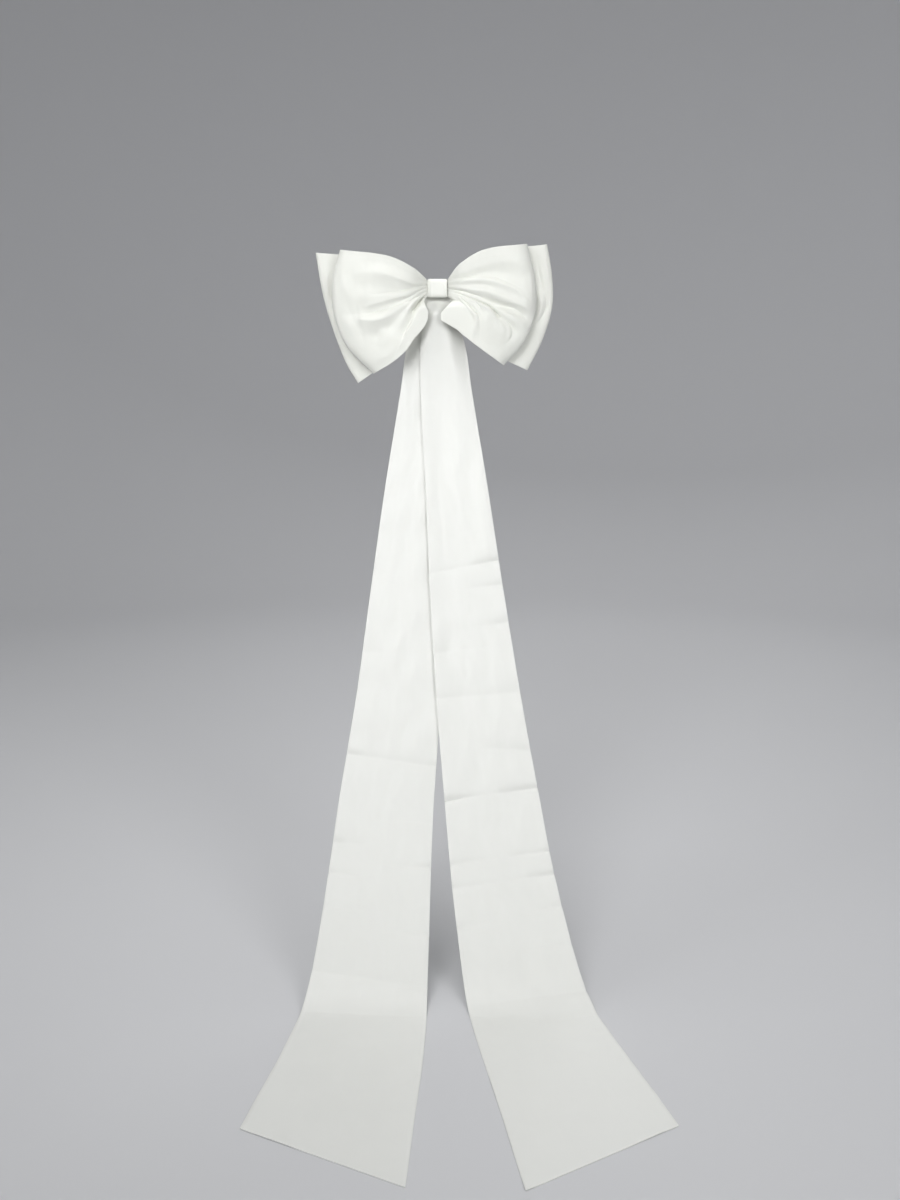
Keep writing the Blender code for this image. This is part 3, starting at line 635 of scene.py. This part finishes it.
CREASES_BEHIND_LEFT = (
    Crease("high crease", ((-2.6, 0.5), (-7.5, 1.9), (-13.5, 3.4)),
           (-0.15, -0.30, 0.0), 0.7, 0.5, 1.3),
    Crease("middle crease", ((-2.6, -0.6), (-8.5, -2.6), (-16.0, -3.9)),
           (-0.15, -0.38, 0.0), 0.8, 0.5, 1.3),
    Crease("middle roll", ((-5.5, -2.9), (-10.5, -5.0), (-15.5, -6.8)),
           (0.0, 0.22, 0.0), 0.9, 1.2, 1.7),
    Crease("low crease", ((-3.4, -2.6), (-7.5, -6.6), (-11.5, -11.6)),
           (-0.15, -0.32, 0.0), 0.6, 0.8, 1.3),
    Crease("soft dent", ((-17.6, -8.0), (-16.0, -11.5), (-14.6, -14.4)),
           (0.0, -0.22, 0.0), 1.0, 1.0, 1.8))

CREASES_BEHIND_RIGHT = (
    Crease("high crease", ((2.6, 0.8), (7.5, 3.0), (12.5, 4.9)),
           (-0.15, -0.34, 0.0), 0.6, 0.5, 1.3),
    Crease("middle crease", ((2.6, -0.2), (9.0, -0.4), (15.5, -1.6)),
           (-0.15, -0.30, 0.0), 0.8, 0.5, 1.3),
    Crease("low roll", ((5.0, -3.5), (9.5, -6.4), (14.5, -9.2)),
           (0.0, 0.26, 0.0), 0.9, 1.1, 1.7),
    Crease("low crease", ((3.2, -2.0), (8.0, -4.4), (14.5, -7.2)),
           (-0.12, -0.34, 0.0), 0.6, 0.6, 1.3),
    Crease("soft dent", ((19.4, 2.5), (19.6, -2.5), (18.4, -7.2)),
           (0.0, -0.20, 0.0), 1.0, 1.0, 1.8))

back_loop_left = lay_loop("satin_back_loop_left", BACK_LEFT, -1, "back_out", "back_in", 8.0,
                          PLEATS_PLAIN, PLEATS_PLAIN, CREASES_BACK_LEFT, CREASES_BEHIND_LEFT)
back_loop_right = lay_loop("satin_back_loop_right", BACK_RIGHT, 1, "back_out", "back_in", 14.0,
                           PLEATS_PLAIN, PLEATS_PLAIN, CREASES_BACK_RIGHT, CREASES_BEHIND_RIGHT)

for loop, node in ((back_loop_left, "back_loop_left"), (back_loop_right, "back_loop_right")):
    loop.data.materials.append(loop_satin)
    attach(loop, "root")
    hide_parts(node)


# =============================================================================================
# Knot band: a narrow strip of the same satin, wrapped once round the pleats and closed behind.
# Its long edges are turned under, so they are round and stand a little off the loops.
# =============================================================================================

KNOT_HALF_WIDTH = 1.88
KNOT_SIDE_GAP = 0.02        # how much narrower the band is than that, on each side
KNOT_HALF_HEIGHT = 1.78
KNOT_DEPTH = 2.5
KNOT_BACK = -0.38
KNOT_WALL = 0.15
KNOT_SQUARENESS = 5.0
KNOT_TURN_UNDER = 0.16
KNOT_TURN_POWER = 10        # the greater, the tighter its edges turn under
KNOT_ROUND, KNOT_ACROSS = 160, 40
KNOT_FRONT = (0.3, 0.9)     # the cosines of the turn between which its back becomes its front
KNOT_EDGE_RIDGE = 0.07      # the turned edge shows as a line near the right side
KNOT_RIDGE_AT = 0.74        # where, and how wide, as shares of half the band's width
KNOT_RIDGE_WIDTH = 0.09
KNOT_SIDE_DROP = 0.30       # and the left side slopes back
KNOT_DROP_AT = (-0.62, -0.92)       # where that begins and is full, as such shares
KNOT_SWELL = 0.02           # how much fuller the front is across its middle


def place_knot(column, row):
    turn = 2 * np.pi * column / KNOT_ROUND + np.pi
    share = row / KNOT_ACROSS * 2 - 1
    reach = (np.abs(np.cos(turn)) ** KNOT_SQUARENESS
             + np.abs(np.sin(turn)) ** KNOT_SQUARENESS) ** (-1 / KNOT_SQUARENESS)
    inset = KNOT_WALL / 2 + KNOT_TURN_UNDER * np.abs(share) ** KNOT_TURN_POWER
    ridge = KNOT_EDGE_RIDGE * np.exp(-((share - KNOT_RIDGE_AT) / KNOT_RIDGE_WIDTH) ** 2)
    drop = KNOT_SIDE_DROP * ramp(*KNOT_DROP_AT, share)
    fold = (ridge - drop + KNOT_SWELL * (1 - share ** 2)) * ramp(*KNOT_FRONT, np.cos(turn))
    y = KNOT_BACK - KNOT_DEPTH / 2 - np.cos(turn) * reach * (KNOT_DEPTH / 2 - inset) - fold
    z = np.sin(turn) * reach * (KNOT_HALF_HEIGHT - inset)
    return np.stack((share * (KNOT_HALF_WIDTH - KNOT_SIDE_GAP), y, z), axis=-1)


KNOT_FLAT = (11.0, 3.8)     # once round, and across the band
knot = lay_sheet("satin_knot_band", KNOT_ROUND, KNOT_ACROSS, place_knot, KNOT_WALL, KNOT_FLAT,
                 closed=True)
knot_satin = satin("knot_satin", (0.85, 0.86, 0.81), KNOT_FLAT, 0)
knot.data.materials.append(knot_satin)
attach(knot, "root")
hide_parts("knot_band")


# =============================================================================================
# Tails: two long flared strips with pressed edges and slanted hems, gathered at their tops and
# sewn in behind the knot. They fall forward to the floor, lie out on it, and still show the
# creases of the box that they came in.
# =============================================================================================

Station = namedtuple("Station", "forward height width left right behind")
Press = namedtuple("Press", "down slant left middle right width")

# forward (y) and height (z) place the middle of the right tail, and width is its full width. left
# and right are the two tails' middles (x), and behind is how far the left tail lies behind.
TAIL_STATIONS = (
    Station(-0.27,    1.3,   3.0,   0.0,  0.0, 0.19),
    Station(-0.27,   -1.9,   4.3,  -0.1,  0.2, 0.52),
    Station(-0.30,   -4.5,   5.7,  -0.8,  0.4, 0.64),
    Station(-0.30,   -8.0,   7.4,  -1.4,  0.5, 0.60),
    Station(-0.45,  -12.0,   8.9,  -1.7,  1.1, 0.60),
    Station(-2.60,  -20.0,  10.0,  -2.2,  1.7, 0.60),
    Station(-7.80,  -39.0,  12.1,  -4.2,  3.8, 0.60),
    Station(-13.4,  -58.0,  14.2,  -5.8,  5.7, 0.60),
    Station(-20.5,  -77.0,  16.1,  -7.4,  7.9, 0.60),
    Station(-28.8,  -95.0,  17.8,  -9.5, 10.4, 0.60),
    Station(-35.8, -107.0,  19.0, -10.6, 12.2, 0.30),
    Station(-42.6, -116.0,  20.1, -11.4, 14.0, 0.00),
    Station(-49.0, -122.0,  21.1, -12.1, 15.5, 0.00),
    Station(-55.0, -124.6,  22.0, -12.6, 16.8, 0.00),
    Station(-62.0, -125.0,  22.8, -13.1, 18.0, 0.00),
    Station(-75.0, -125.0,  24.0, -14.0, 20.2, 0.00),
    Station(-90.0, -125.0,  25.5, -15.4, 22.8, 0.00),
    Station(-104., -125.0,  26.8, -16.6, 25.1, 0.00))

# Creases pressed across the tails. down is the station that they cross the middle at, and slant
# how many stations lower their right end is. left, middle and right are how strongly they stand
# out there (+) or sink in (-), and width how wide each of their sides is, in centimetres.
PRESSED_LEFT = (
    Press(6.30,  0.05,  0.00, -0.02, -0.05, 1.2),
    Press(7.55, -0.05, -0.06, -0.03,  0.00, 1.4),
    Press(8.57,  0.03, -0.13, -0.06, -0.13, 0.8),
    Press(9.20,  0.00,  0.00, -0.03, -0.07, 1.0),
    Press(9.54,  0.00, -0.13, -0.02,  0.00, 0.8),
    Press(9.80,  0.00,  0.00,  0.00, -0.14, 0.6),
    Press(9.98,  0.02, -0.13,  0.00,  0.00, 0.7),
    Press(10.52, 0.00, -0.11,  0.00,  0.00, 0.8),
    Press(10.87, 0.00,  0.00,  0.00, -0.14, 0.7),
    Press(11.85, 0.25, -0.15, -0.05, -0.16, 1.0),
    Press(13.10, 0.05, -0.05, -0.05, -0.04, 0.9),
    Press(15.30, 0.10, -0.04, -0.04, -0.02, 0.7))

PRESSED_RIGHT = (
    Press(5.60,  0.05, -0.03, -0.02,  0.00, 1.3),
    Press(6.72, -0.07, -0.06, -0.04, -0.17, 0.5),
    Press(6.93,  0.00,  0.00, -0.01, -0.14, 0.8),
    Press(7.30,  0.00,  0.00, -0.02, -0.16, 0.9),
    Press(7.51,  0.00, -0.12, -0.05,  0.00, 1.1),
    Press(7.95,  0.03, -0.13, -0.05, -0.10, 1.2),
    Press(8.45,  0.15,  0.00, -0.03, -0.15, 1.1),
    Press(8.89, -0.01, -0.19, -0.05, -0.22, 0.5),
    Press(9.70, -0.01, -0.14, -0.02, -0.17, 0.6),
    Press(10.04, 0.00, -0.15, -0.04, -0.20, 0.7),
    Press(10.62, -0.1, -0.12,  0.00, -0.14, 0.8),
    Press(11.27, 0.00,  0.00,  0.00, -0.12, 0.7),
    Press(12.46, 0.05, -0.02, -0.03, -0.12, 0.9),
    Press(15.90, 0.05, -0.02, -0.02, -0.03, 0.7))

PRESS_DEPTH = 3.2           # how deep a crease of strength 1 would be, in centimetres
PRESS_SOFT = 1.2            # 1 is a sharp crease, and 2 a round one

# Numbers in pairs from here on say where something begins and is full, or has faded and is still
# full. They are stations, counted from 0 at the top, where they are not said to be anything else.
FLOOR = -125.0
TAIL_WALL = 0.16
HEM_LEAD = 7.25             # how much farther along the hem's inner end is than its middle
HEM_RUN = 3                 # stations above the hem over which the slant builds up
TAIL_ARCH = 0.25            # how far the middle of the cloth stands out where it hangs
ARCH_BEGINS = (4, 7)
ARCH_ENDS = (FLOOR, FLOOR + 30)     # heights
EDGE_LIFT = 0.5             # how far the right tail's left edge stands off the left tail
EDGE_SHARE = (0.5, 1.0)     # shares of half its width
GATHER = 0.08               # how deep the small gathers near the knot are
GATHER_PITCH = 2.5
GATHER_BEGINS = (1, 2)
GATHER_FADES = (4.5, 2.5)
PUFF = 2.3                  # how far both tails bulge forward between the loops
PUFF_BEGINS = (0.9, 2.2)
PUFF_FADES = (5.6, 3.6)
PUFF_REACH = (3.9, 0.2)     # how far from the middle the bulge begins and is full
PUFF_WIDER = 0.25           # and how much farther for each centimetre below PUFF_EVEN
PUFF_EVEN = -4.0
DENTS_DEPTH = 1.8           # how many times as deep as on a loop the dents are
DENTS_DRAWN = 0.6           # and how many there are along the tail to one on a loop
DENTS_START = (3.5, 5.5)
LEFT_SEED, RIGHT_SEED = -20.0, 20.0
FLOOR_EASE = 0.5            # on the floor creases and dents are shallower by this share
FLOOR_NEAR = 3              # and they begin to be so this far above it
HEADING_STEP = 0.002        # the share of the tail's curve that its heading is taken over
CURVE_STEPS = 2000          # places on that curve that its length is measured at
TAIL_CELLS = 40
TAIL_ROWS = 600
TAIL_FLAT = (30.5, 198.0)


def lay_tail(name, side, seed, pressed):
    """side is -1 for the left tail, which lies behind, and 1 for the right one."""
    forward, height, width, left, right, behind = (np.array(c) for c in zip(*TAIL_STATIONS))
    middles = np.stack((left if side < 0 else right, forward + (behind if side < 0 else 0),
                        np.maximum(height, FLOOR + TAIL_WALL / 2)), axis=-1)
    knots = spaced_knots(middles)
    numbers = np.arange(len(TAIL_STATIONS))

    def middle(at):
        points = np.stack([curve_through(knots, middles[:, i], at) for i in range(3)], axis=-1)
        points[:, 2] = np.maximum(points[:, 2], FLOOR + TAIL_WALL / 2)
        return points

    fine = np.linspace(0, 1, CURVE_STEPS)
    steps = np.linalg.norm(np.diff(middle(fine), axis=0), axis=1)
    lengths = np.concatenate(([0.0], np.cumsum(steps)))

    def place(column, row):
        length = row / TAIL_ROWS * lengths[-1]
        at = np.interp(length, lengths, fine)
        number = np.interp(at, knots, numbers)
        back, ahead = np.maximum(at - HEADING_STEP, 0), np.minimum(at + HEADING_STEP, 1)
        heading = middle(ahead) - middle(back)
        heading /= np.linalg.norm(heading, axis=1)[:, None]
        across = np.array((1.0, 0.0, 0.0)) - heading * heading[:, :1]
        across /= np.linalg.norm(across, axis=1)[:, None]
        rightward = column / TAIL_CELLS * 2 - 1
        outward = rightward * side
        half = curve_through(knots, width, at) / 2
        lead = HEM_LEAD * np.maximum(0.0, 1 - (numbers[-1] - number) / HEM_RUN)
        points = middle(at) + across * (rightward * half)[:, None]
        points -= heading * (outward * lead)[:, None]
        hanging = ramp(*ARCH_ENDS, points[:, 2]) * ramp(*ARCH_BEGINS, number)
        gathered = ramp(*GATHER_BEGINS, number) * ramp(*GATHER_FADES, number)
        wider = PUFF_WIDER * np.maximum(0.0, PUFF_EVEN - points[:, 2])
        puffed = ramp(*PUFF_BEGINS, number) * ramp(*PUFF_FADES, number)
        puffed *= ramp(*PUFF_REACH, np.abs(points[:, 0]) - wider)
        points[:, 1] -= TAIL_ARCH * hanging * (1 - outward ** 2)
        if side > 0:
            points[:, 1] -= EDGE_LIFT * hanging * ramp(*EDGE_SHARE, -outward)
        points[:, 1] -= GATHER * gathered * np.cos(2 * np.pi * points[:, 0] / GATHER_PITCH)
        points[:, 1] -= PUFF * puffed
        height = crumple(rightward * half, length * DENTS_DRAWN, seed)
        height *= DENTS_DEPTH * ramp(*DENTS_START, number)
        for press in pressed:
            crossing = np.interp(press.down + press.slant * rightward / 2, numbers, knots)
            distance = np.abs(length - np.interp(crossing, fine, lengths))
            strength = np.interp(rightward, (-1, 0, 1), (press.left, press.middle, press.right))
            height += PRESS_DEPTH * strength * np.exp(-(distance / press.width) ** PRESS_SOFT)
        height *= 1 - FLOOR_EASE * ramp(FLOOR + FLOOR_NEAR, FLOOR, points[:, 2])
        points -= np.cross(across, heading) * height[:, None]
        points[:, 2] = np.maximum(points[:, 2], FLOOR + TAIL_WALL / 2)
        return points

    return lay_sheet(name, TAIL_CELLS, TAIL_ROWS, place, TAIL_WALL, TAIL_FLAT)


tail_satin = satin("tail_satin", (0.838, 0.845, 0.81), TAIL_FLAT, 1)
tail_left = lay_tail("satin_tail_left", -1, LEFT_SEED, PRESSED_LEFT)
tail_right = lay_tail("satin_tail_right", 1, RIGHT_SEED, PRESSED_RIGHT)
for tail, node in ((tail_left, "tail_left"), (tail_right, "tail_right")):
    tail.data.materials.append(tail_satin)
    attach(tail, "root")
    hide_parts(node)


# =============================================================================================
# Studio: a plain pale floor that turns up into a plain wall all round, large soft lights in front,
# on the left and above, and a weaker one behind.
# =============================================================================================

STAGE_FLAT = 3.4            # metres: how far the flat floor reaches
STAGE_BEND = 1.4            # the radius of the bend up to the wall
STAGE_WALL = 4.2            # and how high the wall is above it
STAGE_CELLS_ROUND, STAGE_CELLS_OUT = 96, 60

bpy.ops.object.select_all(action="DESELECT")
bpy.ops.mesh.primitive_grid_add(x_subdivisions=STAGE_CELLS_ROUND, y_subdivisions=STAGE_CELLS_OUT,
                                size=2, location=(0, 0, 0))
stage = bpy.context.object
stage.name = "studio_stage"
quarter = math.pi / 2 * STAGE_BEND
for point in stage.data.vertices:
    turn = point.co.x * math.pi
    far = (point.co.y + 1) / 2 * (STAGE_FLAT + quarter + STAGE_WALL)
    angle = min(max((far - STAGE_FLAT) / STAGE_BEND, 0.0), math.pi / 2)
    radius = min(far, STAGE_FLAT) + STAGE_BEND * math.sin(angle)
    rise = STAGE_BEND * (1 - math.cos(angle)) + max(0.0, far - STAGE_FLAT - quarter)
    point.co = (radius * math.sin(turn), radius * math.cos(turn), FLOOR * CM + rise)
bpy.ops.object.mode_set(mode="EDIT")
bpy.ops.mesh.select_all(action="SELECT")
bpy.ops.mesh.remove_doubles(threshold=MERGE_DISTANCE)
bpy.ops.object.mode_set(mode="OBJECT")
bpy.ops.object.shade_smooth()
paper = bpy.data.materials.new("studio_paper")
paper.use_nodes = True
paper_shader = paper.node_tree.nodes["Principled BSDF"]
paper_shader.inputs["Base Color"].default_value = (0.66, 0.665, 0.68, 1)
paper_shader.inputs["Roughness"].default_value = 0.9
stage.data.materials.append(paper)


def soft_light(name, at, aim, size, power, spread=180):
    bpy.ops.object.light_add(type="AREA", location=at)
    lamp = bpy.context.object
    lamp.name = name
    lamp.data.shape = "DISK"
    lamp.data.size = size
    lamp.data.energy = power
    lamp.data.spread = math.radians(spread)
    lamp.visible_camera = False
    lamp.rotation_euler = (Vector(aim) - Vector(at)).to_track_quat("-Z", "Y").to_euler()


soft_light("fill_light", (1.5, -3.2, 0.7), (0, 0, -0.3), 1.4, 34)
soft_light("bow_light", (-0.8, -3.4, 1.4), (0, 0, -0.05), 1.5, 8.0, spread=60)
soft_light("side_light", (-2.8, -1.8, 0.5), (-0.1, 0, -0.1), 1.4, 2.2, spread=60)
soft_light("top_light", (-0.3, 0.1, 2.4), (0, -0.3, -0.4), 1.6, 32)
soft_light("back_light", (0.6, 3.4, 1.2), (0, 0, -0.4), 2.4, 20)

world = bpy.data.worlds.new("studio")
bpy.context.scene.world = world
world.use_nodes = True
daylight = world.node_tree.nodes["Background"]
daylight.inputs["Color"].default_value = (1, 1, 1, 1)
daylight.inputs["Strength"].default_value = 0.34
bpy.context.scene.view_settings.view_transform = "Standard"
